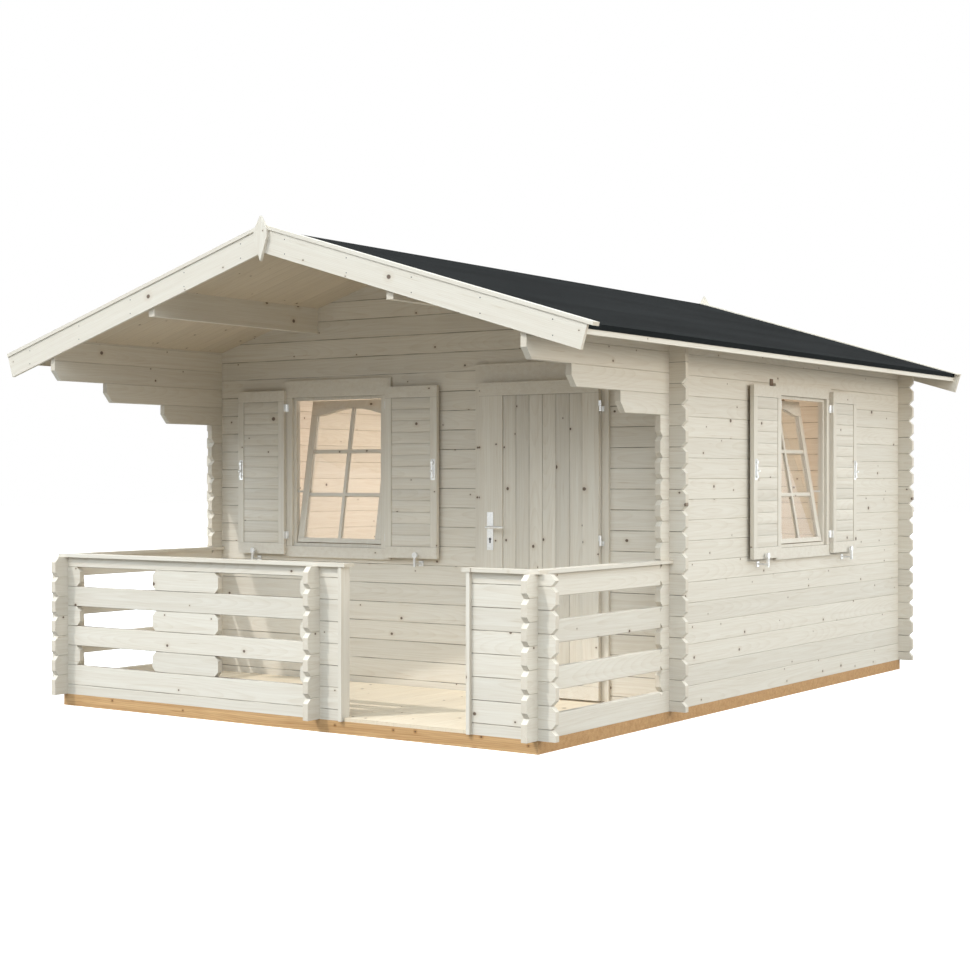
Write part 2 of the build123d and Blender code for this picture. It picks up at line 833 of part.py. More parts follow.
def shutter_catch():
    """Wall plate and arm, whose upright head stands in front of the shutter's foot."""
    x = shutter_edge + shutter_width / 2 + catch_offset
    z = base_z + shutter_foot_level - catch_drop
    half = catch_width / 2
    tip = shutter_front - catch_gap - catch_head_thickness
    plate = block(x - catch_plate / 2, x + catch_plate / 2, -catch_thickness, 0,
                  z - catch_plate / 2, z + catch_plate / 2)
    arm = block(x - half, x + half, tip, 0, z - half, z + half)
    stem = block(x - half, x + half, tip, tip + catch_head_thickness, z - catch_drop / 2,
                 z + catch_rise)
    head = Pos(x, tip + catch_head_thickness / 2, z + catch_rise) * Rot(90, 0, 0) * Cylinder(
        catch_head_radius, catch_head_thickness)
    return plate + arm + stem + head


def shutter_catches():
    right = shutter_catch()
    return Compound(children=[right, mirrored(right)])


def on_front(solid):
    return Pos(front_window_centre, front_y, 0) * solid


def on_right(solid):
    return Pos(half_width, front_y + side_window_from_front, 0) * Rot(0, 0, 90) * solid


def at_each_window(made):
    """Copies for the front window and the one in the right wall."""
    solids = [solid for put in (on_front, on_right) for solid in put(made).solids()]
    return Compound(children=solids)


def main():
    os.makedirs("parts", exist_ok=True)
    save("foundation_frame", foundation_frame())
    save("floor_joists", floor_joists())
    save("cabin_floor", cabin_floor())
    save("terrace_floor", terrace_floor())
    wall = side_wall()
    save("right_wall", wall - on_right(window_hole()))
    save("left_wall", mirrored(wall))
    save("back_wall", back_wall())
    save("front_wall_window_side", front_wall_window_side())
    save("front_wall_hinge_side", front_wall_hinge_side())
    save("front_gable", front_gable())
    save("roof_purlins", roof_purlins())
    save("roof_boards_right", roof_boards_right())
    save("roof_boards_left", mirrored(roof_boards_right()))
    save("roofing_felt_right", roofing_felt_right())
    save("roofing_felt_left", mirrored(roofing_felt_right()))
    save("eave_strips", eave_strips())
    boards = [bargeboard_right(roof_front_y - barge_thickness), bargeboard_right(roof_rear_y)]
    save("bargeboards_right", Compound(children=boards))
    save("bargeboards_left", Compound(children=[mirrored(board) for board in boards]))
    save("barge_caps_right", barge_caps(cap_tail))
    save("barge_caps_left", mirrored(barge_caps(0)))
    save("finials", finials())
    rail = rail_right()
    save("rail_right", rail)
    save("rail_left", mirrored(rail))
    save("rail_front_left", rail_front_left())
    save("rail_front_right", rail_front_right())
    save("rail_cross_post", rail_cross_post())
    save("rail_caps_front", rail_caps_front())
    save("rail_caps_side", rail_caps_side())
    save("opening_trim_boards", opening_trim_boards())
    save("door_frame", door_frame())
    save("door_leaf", door_leaf())
    save("door_hinge_pins", door_hinge_pins())
    save("door_hinge_barrels", door_hinge_barrels())
    save("door_lock_plates", door_lock_plates())
    save("door_lever", door_lever())
    save("window_frame_front", on_front(window_frame(front_head_casing)))
    save("window_frame_right", on_right(window_frame(window_casing_width)))
    save("window_sashes", at_each_window(tilted(window_sash())))
    save("window_glass", at_each_window(tilted(window_glass())))
    save("window_stays", at_each_window(window_stays()))
    save("shutters", at_each_window(shutters()))
    save("shutter_hinges", at_each_window(shutter_hinges()))
    save("shutter_catches", at_each_window(shutter_catches()))


if __name__ == "__main__":
    main()
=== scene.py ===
import math
import random
import bpy
from mathutils import Euler, Matrix, Vector


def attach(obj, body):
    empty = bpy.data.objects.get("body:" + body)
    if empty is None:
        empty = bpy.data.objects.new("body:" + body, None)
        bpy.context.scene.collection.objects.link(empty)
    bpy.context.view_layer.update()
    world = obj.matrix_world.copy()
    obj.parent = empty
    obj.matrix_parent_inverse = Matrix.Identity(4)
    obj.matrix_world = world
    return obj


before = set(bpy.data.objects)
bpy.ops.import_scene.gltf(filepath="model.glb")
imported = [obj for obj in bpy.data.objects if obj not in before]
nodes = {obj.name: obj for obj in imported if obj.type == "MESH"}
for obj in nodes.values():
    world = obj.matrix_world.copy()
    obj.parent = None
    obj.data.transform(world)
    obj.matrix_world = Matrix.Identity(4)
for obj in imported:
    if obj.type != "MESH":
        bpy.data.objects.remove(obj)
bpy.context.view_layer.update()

bpy.ops.object.select_all(action='DESELECT')


# Foundation: beams of pressure-treated softwood laid flat on the ground under every log wall,
# with joists between them. The salts leave the sapwood orange brown, darker along the grain.
def feed(tree, node, feeds):
    """Links or sets inputs of a node, by name or by number."""
    for socket, value in feeds.items():
        if isinstance(value, bpy.types.NodeSocket):
            tree.links.new(value, node.inputs[socket])
        else:
            node.inputs[socket].default_value = value


def add(tree, kind, feeds=None, **settings):
    made = tree.nodes.new(kind)
    for key, value in settings.items():
        setattr(made, key, value)
    feed(tree, made, feeds or {})
    return made


def sum_up(tree, operation, first, second=0.5, third=0.5, clamp=False):
    feeds = {0: first, 1: second}
    if operation == 'MULTIPLY_ADD':
        feeds[2] = third
    return add(tree, 'ShaderNodeMath', feeds, operation=operation, use_clamp=clamp).outputs[0]


def ramp(tree, value, low, high, out_low=0.0, out_high=1.0):
    return add(tree, 'ShaderNodeMapRange', {0: value, 1: low, 2: high, 3: out_low, 4: out_high},
               clamp=True).outputs[0]


def blend(tree, amount, first, second, kind='MIX'):
    return add(tree, 'ShaderNodeMix', {0: amount, 6: first, 7: second}, data_type='RGBA',
               blend_type=kind).outputs[2]


def noise(tree, where, scale, detail):
    return add(tree, 'ShaderNodeTexNoise',
               {'Vector': where, 'Scale': scale, 'Detail': detail}).outputs[0]


def draw(tree, number):
    """A random value from 0 to 1 that belongs to one number."""
    return add(tree, 'ShaderNodeTexWhiteNoise', {'W': number}, noise_dimensions='1D').outputs[0]


def bump(tree, strength, distance, height):
    return add(tree, 'ShaderNodeBump', {'Strength': strength, 'Distance': distance,
                                        'Height': height}).outputs[0]


def new_group(name, takes, gives):
    group = bpy.data.node_groups.new(name, 'ShaderNodeTree')
    for label, kind, value in takes:
        socket = group.interface.new_socket(label, in_out='INPUT', socket_type=kind)
        if value is not None:
            socket.default_value = value
    for label, kind in gives:
        group.interface.new_socket(label, in_out='OUTPUT', socket_type=kind)
    return group, group.nodes.new('NodeGroupInput').outputs, group.nodes.new('NodeGroupOutput')


def new_finish(name):
    """A new material, its nodes, its shader and its texture coordinates."""
    made = bpy.data.materials.new(name)
    made.use_nodes = True
    tree = made.node_tree
    return made, tree, tree.nodes['Principled BSDF'], add(tree, 'ShaderNodeTexCoord').outputs


NUMBER, COLOUR, VECTOR = 'NodeSocketFloat', 'NodeSocketColor', 'NodeSocketVector'

# Cuts a timber surface into boards of one width, and gives each board its own number.
board_rows, start, end = new_group(
    'Board rows', [('Vector', VECTOR, None), ('Width', NUMBER, 0.12), ('Shift', NUMBER, 0.0),
                   ('Joint', NUMBER, 0.002)],
    [('Vector', VECTOR), ('Random', NUMBER), ('Joint', NUMBER)])
xyz = add(board_rows, 'ShaderNodeSeparateXYZ', {0: start['Vector']}).outputs
place = sum_up(board_rows, 'DIVIDE', sum_up(board_rows, 'SUBTRACT', xyz[1], start['Shift']),
               start['Width'])
row = sum_up(board_rows, 'FLOOR', place)
inside = sum_up(board_rows, 'SUBTRACT', sum_up(board_rows, 'SUBTRACT', place, row), 0.5)
across = sum_up(board_rows, 'MULTIPLY', inside, start['Width'])
from_edge = sum_up(board_rows, 'MULTIPLY',
                   sum_up(board_rows, 'SUBTRACT', 0.5, sum_up(board_rows, 'ABSOLUTE', inside)),
                   start['Width'])
far = sum_up(board_rows, 'DIVIDE', from_edge, start['Joint'])
feed(board_rows, end, {
    'Vector': add(board_rows, 'ShaderNodeCombineXYZ',
                  {0: xyz[0], 1: across, 2: xyz[2]}).outputs[0],
    'Random': draw(board_rows, row),
    'Joint': ramp(board_rows, far, 0.35, 1.0, 1.0, 0.0)})


def drawn_out(tree, along, xyz, lengthwise, crosswise, detail):
    """Noise drawn out along the grain, with so many spots per metre along and across it."""
    where = add(tree, 'ShaderNodeCombineXYZ',
                {0: sum_up(tree, 'MULTIPLY', along, lengthwise),
                 1: sum_up(tree, 'MULTIPLY', xyz[1], crosswise),
                 2: sum_up(tree, 'MULTIPLY', xyz[2], crosswise)}).outputs[0]
    return noise(tree, where, 1.0, detail)


# Softwood sawn along the trunk: growth rings about a pith behind the face, fine fibres, and
# now and then a knot. X runs along the grain, Y across the face and Z through the board.
softwood, start, end = new_group(
    'Softwood', [('Vector', VECTOR, None), ('Random', NUMBER, 0.5),
                 ('Pale', COLOUR, (0.8, 0.7, 0.55, 1)), ('Late', COLOUR, (0.6, 0.45, 0.3, 1)),
                 ('Knot', COLOUR, (0.12, 0.07, 0.04, 1)), ('Knots', NUMBER, 0.3),
                 ('Ring', NUMBER, 0.008), ('Strength', NUMBER, 0.3), ('Tone', NUMBER, 0.08)],
    [('Colour', COLOUR), ('Roughness', NUMBER), ('Height', NUMBER)])
xyz = add(softwood, 'ShaderNodeSeparateXYZ', {0: start['Vector']}).outputs
# Every board is cut from another stretch of one long trunk, at its own distance from the pith.
trunk_length, pith_step, pith_spread, drift_spread = 37.0, 91.7, 0.08, 0.05
along = sum_up(softwood, 'MULTIPLY_ADD', start['Random'], trunk_length, xyz[0])
pith = sum_up(softwood, 'MULTIPLY_ADD',
              draw(softwood, sum_up(softwood, 'MULTIPLY', start['Random'], pith_step)),
              pith_spread, -pith_spread / 2)
drift = drawn_out(softwood, along, xyz, 0.9, 5.0, 2.0)
offset = sum_up(softwood, 'ADD', sum_up(softwood, 'SUBTRACT', xyz[1], pith),
                sum_up(softwood, 'MULTIPLY_ADD', drift, drift_spread, -drift_spread / 2))
# The pith comes nearer and goes away again along the trunk. The depth in the board is folded,
# so that every face lies close to the front one.
swell_reach, swell_less, face_depth = 0.16, 0.022, 0.03
swell = add(softwood, 'ShaderNodeTexNoise', {'W': along, 'Scale': 0.45, 'Detail': 1.0},
            noise_dimensions='1D').outputs[0]
behind = sum_up(softwood, 'ADD',
                sum_up(softwood, 'MULTIPLY_ADD', swell, swell_reach, -swell_less),
                sum_up(softwood, 'PINGPONG', xyz[2], face_depth))
radius = sum_up(softwood, 'SQRT', sum_up(
    softwood, 'ADD', sum_up(softwood, 'MULTIPLY', offset, offset),
    sum_up(softwood, 'MULTIPLY', behind, behind)))
# A ring darkens slowly towards its late wood and ends sharply.
late_power, ring_end = 3.0, 0.94
ring = sum_up(softwood, 'FRACT', sum_up(softwood, 'DIVIDE', radius, start['Ring']))
late = sum_up(softwood, 'MULTIPLY', sum_up(softwood, 'POWER', ring, late_power),
              ramp(softwood, ring, ring_end, 1.0, 1.0, 0.0))
fibre = drawn_out(softwood, along, xyz, 7.0, 260.0, 3.0)
streak = drawn_out(softwood, along, xyz, 1.1, 46.0, 2.0)
check = ramp(softwood, drawn_out(softwood, along, xyz, 3.2, 120.0, 4.0), 0.66, 0.76)
# A knot is an ellipse about one point in each cell, where that cell has one at all. It is longer
# than wide, because lengths along the grain count for a little less than they are.
cell_length, cell_width, counted_length, row_step = 0.30, 0.10, 0.26, 53.0
cells = add(softwood, 'ShaderNodeCombineXYZ',
            {0: sum_up(softwood, 'DIVIDE', along, cell_length),
             1: sum_up(softwood, 'MULTIPLY_ADD', start['Random'], row_step,
                       sum_up(softwood, 'DIVIDE', xyz[1], cell_width))}).outputs[0]
spots = add(softwood, 'ShaderNodeTexVoronoi', {'Vector': cells, 'Scale': 1.0, 'Randomness': 0.9},
            voronoi_dimensions='2D').outputs
away = add(softwood, 'ShaderNodeVectorMath', {0: cells, 1: spots['Position']},
           operation='SUBTRACT').outputs[0]
away = add(softwood, 'ShaderNodeVectorMath', {0: away, 1: (counted_length, cell_width, 0.0)},
           operation='MULTIPLY').outputs[0]
away = add(softwood, 'ShaderNodeVectorMath', {0: away}, operation='LENGTH').outputs['Value']
rgb = add(softwood, 'ShaderNodeSeparateColor', {0: spots['Color']}).outputs
present = sum_up(softwood, 'LESS_THAN', rgb[0], start['Knots'])
least_knot, knot_growth, rarity = 0.0038, 0.010, 3.0
size = sum_up(softwood, 'MULTIPLY_ADD', sum_up(softwood, 'POWER', rgb[1], rarity), knot_growth,
              least_knot)
reach = sum_up(softwood, 'DIVIDE', away, size)
knot = sum_up(softwood, 'MULTIPLY', ramp(softwood, reach, 0.75, 1.1, 1.0, 0.0), present)
halo = sum_up(softwood, 'MULTIPLY', ramp(softwood, reach, 1.0, 3.2, 1.0, 0.0), present)
# How much each part of the pattern darkens the wood, and what is then taken off.
shade = sum_up(softwood, 'MULTIPLY', late, 0.55)
for part, darkens, less in ((fibre, 1.3, 0.0), (streak, 1.5, 0.85), (check, 1.6, 0.15),
                            (halo, 0.8, 0.0)):
    shade = sum_up(softwood, 'ADD', shade,
                   sum_up(softwood, 'MULTIPLY_ADD', part, darkens, -less))
shade = sum_up(softwood, 'MULTIPLY', shade, start['Strength'], clamp=True)
knot_cover = 0.9
colour = blend(softwood, shade, start['Pale'], start['Late'])
colour = blend(softwood, sum_up(softwood, 'MULTIPLY', knot, knot_cover), colour, start['Knot'])
level = sum_up(softwood, 'MULTIPLY_ADD', start['Random'], start['Tone'],
               sum_up(softwood, 'SUBTRACT', 1.0, start['Tone']))
bright = add(softwood, 'ShaderNodeCombineXYZ', {0: level, 1: level, 2: level}).outputs[0]
feed(softwood, end, {
    'Colour': blend(softwood, 1.0, colour, bright, 'MULTIPLY'),
    'Roughness': sum_up(softwood, 'MULTIPLY_ADD', fibre, 0.18, 0.56),
    'Height': sum_up(softwood, 'SUBTRACT', sum_up(softwood, 'MULTIPLY', fibre, 0.5),
                     sum_up(softwood, 'MULTIPLY', late, 0.7))})


def timber(name, along, across, pale, late, knots=0.38, width=10.0, shift=-5.0, joint=0.002,
           ring=0.009, strength=0.36, tone=0.08, seam=0.6, rails=None):
    """A finish for sawn timber whose grain runs one way and whose boards lie side by side.

    Below and above the two heights in rails the grain runs level, as in a frame's rails.
    """
    made, tree, shader, coords = new_finish(name)
    along, across = Vector(along).normalized(), Vector(across).normalized()
    turn = Matrix((along, across, along.cross(across))).to_euler()
    lie = add(tree, 'ShaderNodeMapping', {'Vector': coords['Object'],
                                          'Rotation': turn}).outputs[0]
    if rails:
        low, high = rails
        level, upwards = Vector((1, 1, 0)).normalized(), Vector((0, 0, 1))
        crossing = add(tree, 'ShaderNodeMapping', {
            'Vector': coords['Object'],
            'Rotation': Matrix((level, upwards, level.cross(upwards))).to_euler()}).outputs[0]
        height = add(tree, 'ShaderNodeSeparateXYZ', {0: coords['Object']}).outputs[2]
        beyond = sum_up(tree, 'MAXIMUM', sum_up(tree, 'LESS_THAN', height, low),
                        sum_up(tree, 'GREATER_THAN', height, high))
        lie = add(tree, 'ShaderNodeMix', {0: beyond, 4: lie, 5: crossing},
                  data_type='VECTOR').outputs[1]
        away = sum_up(tree, 'ABSOLUTE', sum_up(tree, 'SUBTRACT', height, (low + high) / 2))
        meeting = sum_up(tree, 'ABSOLUTE', sum_up(tree, 'SUBTRACT', away, (high - low) / 2))
    rows = add(tree, 'ShaderNodeGroup',
               {'Vector': lie, 'Width': width, 'Shift': shift, 'Joint': joint},
               node_tree=board_rows).outputs
    knot_brown, gap_brown = (0.10, 0.06, 0.04, 1), (0.13, 0.10, 0.075, 1)
    wood = add(tree, 'ShaderNodeGroup', {
        'Vector': rows['Vector'], 'Random': rows['Random'], 'Pale': (*pale, 1),
        'Late': (*late, 1), 'Knot': knot_brown, 'Knots': knots, 'Ring': ring,
        'Strength': strength, 'Tone': tone}, node_tree=softwood).outputs
    facing = add(tree, 'ShaderNodeVectorMath', {0: coords['Normal'], 1: along},
                 operation='DOT_PRODUCT').outputs['Value']
    end_grain = ramp(tree, sum_up(tree, 'ABSOLUTE', facing), 0.80, 0.95, 0.0, 0.30)
    colour = blend(tree, end_grain, wood['Colour'], (*late, 1))
    # A seam is open in some places and nearly closed in others.
    patchy = noise(tree, coords['Object'], 5.0, 4.0)
    open_joint = sum_up(tree, 'MULTIPLY', rows['Joint'],
                        ramp(tree, patchy, 0.35, 0.62, 0.25 * seam, seam))
    if rails:
        line_width = 0.0015
        open_joint = sum_up(tree, 'MAXIMUM', open_joint,
                            ramp(tree, meeting, 0.0, line_width, 0.5, 0.0))
    height = sum_up(tree, 'SUBTRACT', wood['Height'], sum_up(tree, 'MULTIPLY', open_joint, 3.0))
    feed(tree, shader, {'Base Color': blend(tree, open_joint, colour, gap_brown),
                        'Roughness': wood['Roughness'],
                        'Normal': bump(tree, 0.6, 0.0006, height),
                        'Specular IOR Level': 0.25})
    return made


def dress(finish, *names):
    for name in names:
        mesh = nodes[name].data
        mesh.materials.clear()
        mesh.materials.append(finish)


treated_pale, treated_late = (0.66, 0.425, 0.21), (0.36, 0.18, 0.065)
treated = timber('Treated timber across', (1, 0, 0), (0, 0, 1), treated_pale, treated_late,
                 knots=0.7, strength=0.75, ring=0.007)
dress(treated, 'foundation_frame', 'floor_joists')


# Floors: planed tongued boards laid across the joists and nailed down, left bare. The roof
# keeps the weather off them, so they have greyed least.
floor_pale, floor_late = (0.82, 0.73, 0.58), (0.62, 0.47, 0.31)
floor_boards = timber('Floor boards', (0, 1, 0), (1, 0, 0), floor_pale, floor_late, width=0.113,
                      shift=0.02, tone=0.05, seam=0.2)
dress(floor_boards, 'cabin_floor', 'terrace_floor')


# Log walls: planed spruce logs, tongued and grooved on their long edges and half lapped where
# they cross. Bare wood, cream in the light, with a fine dark line along every seam. The seams
# of crossing walls lie half a log apart.
spruce_pale, spruce_late = (0.75, 0.705, 0.62), (0.55, 0.455, 0.34)
log_height, first_side_seam, first_cross_seam = 0.12, 0.07, 0.13
side_logs = timber('Logs front to back', (0, 1, 0), (0, 0, 1), spruce_pale, spruce_late,
                   width=log_height, shift=first_side_seam, joint=0.0018, seam=0.42)
cross_logs = timber('Logs side to side', (1, 0, 0), (0, 0, 1), spruce_pale, spruce_late,
                    width=log_height, shift=first_cross_seam, joint=0.0028, seam=0.8)
dress(side_logs, 'right_wall', 'left_wall', 'rail_right', 'rail_left', 'rail_cross_post')
dress(cross_logs, 'back_wall', 'front_wall_window_side', 'front_wall_hinge_side', 'front_gable',
      'rail_front_left', 'rail_front_right')


# Roof: purlins, tongued boards from ridge to eaves nailed over the gables, and planed spruce
# trim on the gables and openings. The grain of every board runs along its length.
purlin_wood = timber('Purlin timber', (0, 1, 0), (0, 0, 1), spruce_pale, spruce_late)
dress(purlin_wood, 'roof_purlins', 'eave_strips')
roof_pitch, roof_board_width = math.radians(17), 0.095
# The roof boards are seen only from below, under the roof. Their spruce is coloured darker and
# warmer than the rest as painted shade.
soffit_shade_pale, soffit_shade_late = (0.66, 0.58, 0.46), (0.48, 0.37, 0.25)
for side, name in ((1, 'right'), (-1, 'left')):
    down = (math.cos(roof_pitch) * side, 0, -math.sin(roof_pitch))
    out = (math.sin(roof_pitch) * side, 0, math.cos(roof_pitch))
    decking = timber(f'Roof boards {name}', down, (0, 1, 0), soffit_shade_pale, soffit_shade_late,
                     width=roof_board_width, joint=0.0025, seam=0.3)
    dress(decking, f'roof_boards_{name}')
    trim = timber(f'Gable trim {name}', down, out, spruce_pale, spruce_late, knots=0.35)
    dress(trim, f'bargeboards_{name}', f'barge_caps_{name}')
upright = timber('Upright trim', (0, 0, 1), (1, 0, 0), spruce_pale, spruce_late, knots=0.3)
dress(upright, 'finials', 'opening_trim_boards')
# Upright stiles between level rails: the bottom rail ends and the top rail starts at these
# heights. The door's frame has no bottom rail.
for name, rails in (('door_frame', (-1.0, 1.943)), ('door_leaf', (0.182, 1.890)),
                    ('shutters', (0.966, 1.896)), ('window_sashes', (1.006, 1.807)),
                    ('window_frame_front', (0.950, 1.919)),
                    ('window_frame_right', (0.950, 1.919))):
    dress(timber(f'Framing {name}', (0, 0, 1), (1, 1, 0), spruce_pale, spruce_late, knots=0.3,
                 rails=rails), name)


# Roofing felt: bitumen sheet with a charcoal mineral face, nailed on in courses along the
# eaves, with a dark line where each course laps the next.
felt, tree, shader, coords = new_finish('Roofing felt')
spot = coords['Object']
grit = noise(tree, spot, 420.0, 3.0)
worn = noise(tree, add(tree, 'ShaderNodeMapping',
                       {'Vector': spot, 'Scale': (3.0, 0.6, 3.0)}).outputs[0], 1.0, 5.0)
base = blend(tree, ramp(tree, worn, 0.35, 0.7), (0.006, 0.0072, 0.0074, 1),
             (0.013, 0.015, 0.0152, 1))
base = blend(tree, ramp(tree, grit, 0.45, 0.75), base, (0.022, 0.0235, 0.0235, 1))
course_width, lap_start, lap_end, lap_cover = 0.47, 0.97, 0.99, 0.7
from_ridge = sum_up(tree, 'ABSOLUTE', add(tree, 'ShaderNodeSeparateXYZ', {0: spot}).outputs[0])
course = sum_up(tree, 'FRACT', sum_up(tree, 'DIVIDE', from_ridge, course_width))
lap = ramp(tree, course, lap_start, lap_end)
feed(tree, shader, {
    'Base Color': blend(tree, sum_up(tree, 'MULTIPLY', lap, lap_cover), base,
                        (0.004, 0.004, 0.004, 1)),
    'Roughness': ramp(tree, grit, 0.2, 0.8, 0.98, 0.8),
    'Normal': bump(tree, 0.8, 0.001, sum_up(tree, 'SUBTRACT', grit, lap)),
    'Specular IOR Level': 0.03})
dress(felt, 'roofing_felt_right', 'roofing_felt_left')


# Railing caps: planed spruce strips nailed flat on the top logs of the railing and over the
# upright boards of the way in. The grain of each runs along it.
dress(timber('Front cap strip', (1, 0, 0), (0, 1, 0), spruce_pale, spruce_late),
      'rail_caps_front')
dress(timber('Side cap strip', (0, 1, 0), (1, 0, 0), spruce_pale, spruce_late), 'rail_caps_side')


# Ironmongery: pressed steel hinges, catches, stays, levers and lock plates, screwed to the
# wood. Bright zinc plating with a faint cloudy bloom.
steel, tree, shader, coords = new_finish('Zinc plated steel')
bloom = noise(tree, coords['Object'], 90.0, 4.0)
feed(tree, shader, {
    'Base Color': blend(tree, ramp(tree, bloom, 0.3, 0.7), (0.70, 0.70, 0.69, 1),
                        (0.84, 0.84, 0.83, 1)),
    'Roughness': ramp(tree, bloom, 0.2, 0.8, 0.38, 0.55), 'Metallic': 0.75})
dress(steel, 'door_hinge_pins', 'door_hinge_barrels', 'door_lock_plates', 'door_lever',
      'window_stays', 'shutter_hinges', 'shutter_catches')


# Window panes: single float glass, bedded in the rebates of the sashes. It is all but clear,
# with a trace of haze.
glass, tree, shader, coords = new_finish('Window glass')
haze = noise(tree, coords['Object'], 6.0, 2.0)
feed(tree, shader, {'Roughness': ramp(tree, haze, 0.3, 0.8, 0.0, 0.02),
                    'Base Color': (0.97, 0.99, 0.985, 1), 'Transmission Weight': 1.0,
                    'IOR': 1.45})
dress(glass, 'window_glass')


# Door facing: six upright tongued boards between the stiles, their arrises taken off so that
# every joint shows as a V. They are nailed to the back of the leaf from inside.
def bevelled(made, width, segments=2):
    bpy.ops.object.modifier_add(type='BEVEL')
    made.modifiers[-1].width, made.modifiers[-1].segments = width, segments
    bpy.ops.object.modifier_apply(modifier=made.modifiers[-1].name)
    return made


def slab(name, low, high, bevel):
    bpy.ops.mesh.primitive_cube_add(size=1, location=[(a + b) / 2 for a, b in zip(low, high)])
    made = bpy.context.object
    made.name = name
    made.scale = [b - a for a, b in zip(low, high)]
    bpy.ops.object.transform_apply(location=True, rotation=False, scale=True)
    return bevelled(made, bevel)


def rowed(made, count, step):
    bpy.ops.object.modifier_add(type='ARRAY')
    rows = made.modifiers[-1]
    rows.count, rows.use_relative_offset, rows.use_constant_offset = count, False, True
    rows.constant_offset_displace = step
    bpy.ops.object.modifier_apply(modifier=rows.name)
    return made


def painted(made, finish):
    made.data.materials.clear()
    made.data.materials.append(finish)
    return made


def joined(name, parts):
    bpy.ops.object.select_all(action='DESELECT')
    for part in parts:
        part.select_set(True)
    bpy.context.view_layer.objects.active = parts[0]
    if len(parts) > 1:
        bpy.ops.object.join()
    made = bpy.context.object
    made.name = made.data.name = name
    bpy.ops.object.shade_smooth_by_angle(angle=math.radians(35))
    return made


board_pitch, board_gap, board_arris = 0.093, 0.001, 0.0022
panel_left, panel_foot, panel_head = 0.6200, 0.1825, 1.8895
board_face, board_back = -1.1990, -1.1942
door_boards = slab('door_boards', (panel_left, board_face, panel_foot),
                   (panel_left + board_pitch - board_gap, board_back, panel_head), board_arris)
rowed(door_boards, 6, (board_pitch, 0, 0))
door_upright = timber('Door boards', (0, 0, 1), (1, 0, 0), spruce_pale, spruce_late, knots=0.5,
                      width=board_pitch, shift=panel_left - board_gap / 2, joint=0.003,
                      tone=0.12, seam=0.3)
painted(door_boards, door_upright)
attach(joined('door_boards', [door_boards]), 'door')


# Keyhole: a profile cylinder in plain dark steel, let into both lock plates under the levers.
# Its round drum and the tongue below it stand out of the plate by a hair.
key_x, key_z, proud = 0.5355, 1.026, 0.0006
drum_radius, tongue_half = 0.0085, 0.005
keyholes = []
for y in (-1.2116, -1.1729):
    bpy.ops.mesh.primitive_cylinder_add(vertices=32, radius=drum_radius, depth=2 * proud,
                                        location=(key_x, y, key_z), rotation=(math.pi / 2, 0, 0))
    drum = bpy.context.object
    bpy.ops.object.transform_apply(location=True, rotation=True, scale=True)
    tongue_foot, tongue_head = key_z - 0.024, key_z - 0.004
    keyholes += [bevelled(drum, 0.0004, segments=1),
                 slab('tongue', (key_x - tongue_half, y - proud, tongue_foot),
                      (key_x + tongue_half, y + proud, tongue_head), 0.0003)]
dark_steel, tree, shader, coords = new_finish('Dark steel')
rubbed = noise(tree, coords['Object'], 300.0, 3.0)
feed(tree, shader, {
    'Base Color': blend(tree, rubbed, (0.05, 0.05, 0.055, 1), (0.14, 0.14, 0.15, 1)),
    'Roughness': ramp(tree, rubbed, 0.3, 0.7, 0.35, 0.55), 'Metallic': 0.8})
for part in keyholes:
    painted(part, dark_steel)
keyhole = joined('keyholes', keyholes)
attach(keyhole, 'door')


# Screws: countersunk steel screws with one slot, four in every lock plate and two in every
# bolt plate. The slot of each was left at a turn of its own.
chance = random.Random(41)


def screw(at, facing):
    """A slotted head that stands out along one direction."""
    head_radius, thickness, edge = 0.0036, 0.0012, 0.0004
    slot_length, slot_width, slot_depth = 0.009, 0.0009, 0.0008
    bpy.ops.mesh.primitive_cylinder_add(vertices=20, radius=head_radius, depth=thickness)
    head = bpy.context.object
    bpy.ops.object.mode_set(mode='EDIT')
    bpy.ops.mesh.select_all(action='SELECT')
    bpy.ops.mesh.bevel(offset=edge, segments=2)
    bpy.ops.object.mode_set(mode='OBJECT')
    bpy.ops.mesh.primitive_cube_add(size=1, location=(0, 0, thickness / 2))
    slot = bpy.context.object
    slot.scale = (slot_length, slot_width, slot_depth)
    bpy.ops.object.transform_apply(location=False, rotation=False, scale=True)
    bpy.ops.object.select_all(action='DESELECT')
    head.select_set(True)
    bpy.context.view_layer.objects.active = head
    bpy.ops.object.modifier_add(type='BOOLEAN')
    head.modifiers[-1].object, head.modifiers[-1].operation = slot, 'DIFFERENCE'
    bpy.ops.object.modifier_apply(modifier=head.modifiers[-1].name)
    bpy.data.objects.remove(slot, do_unlink=True)
    head.rotation_mode = 'QUATERNION'
    head.rotation_quaternion = (Vector(facing).to_track_quat('Z', 'X')
                                @ Euler((0, 0, chance.uniform(0, 3.1))).to_quaternion())
    head.location = Vector(at) + Vector(facing) * edge
    bpy.ops.object.transform_apply(location=True, rotation=True, scale=True)
    return painted(head, steel)


plate_screws = [screw((x, y, z), (0, facing, 0)) for y, facing in ((-1.2110, -1), (-1.1730, 1))
                for x in (key_x - 0.015, key_x + 0.015) for z in (0.975, 1.173)]
door_screws = joined('lock_plate_screws', plate_screws)
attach(door_screws, 'door')


# Glazing bars: planed strips on both faces of every pane, one upright crossed by two level
# ones, halved where they meet. They tip with the sash.
window_places = (((-0.680, -1.153, 0), 0), ((1.715, 0.674, 0), math.pi / 2))


def at_windows(name, make, finishes):
    """The same piece at the front window and at the one in the right wall."""
    placed = []
    for place, (at, turned) in enumerate(window_places):
        piece = joined(name, [painted(part, finishes[part.name.split('.')[0]][place])
                              for part in make()])
        bpy.ops.object.select_all(action='DESELECT')
        piece.select_set(True)
        piece.rotation_euler, piece.location = (0, 0, turned), at
        bpy.ops.object.transform_apply(location=True, rotation=True, scale=True)
        placed.append(piece)
    return joined(name, placed)


